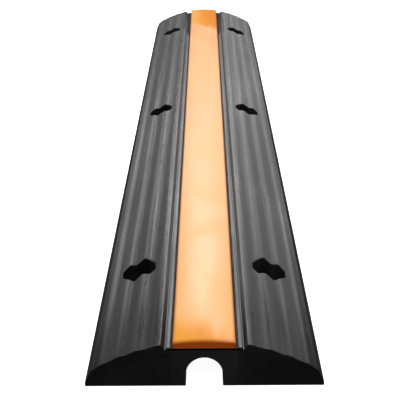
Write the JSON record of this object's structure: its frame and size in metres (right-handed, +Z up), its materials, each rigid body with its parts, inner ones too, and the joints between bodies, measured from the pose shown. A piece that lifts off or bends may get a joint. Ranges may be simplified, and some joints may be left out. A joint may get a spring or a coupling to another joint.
{
  "type": "floor cord cover",
  "caption": "Low moulded rubber ramp that lies over a cord on the floor, with a cord channel open below, ribbed wings, fixing slots and a bright strip on its crown.",
  "frame": {"origin": "on the floor, at the middle of the underside", "axes": "+X across the ramp, +Y along its length, which is the way the cord runs, +Z up through the crown"},
  "size_m": [0.13, 1, 0.028],
  "materials": {
    "ramp_rubber": "moulded black rubber, semi-matt, with a faint grazing sheen",
    "strip_orange": "bright orange flexible plastic, semi-gloss"
  },
  "bodies": {
    "root": {"ramp_body": "ramp_rubber", "visibility_strip": "strip_orange"}
  },
  "joints": []
}
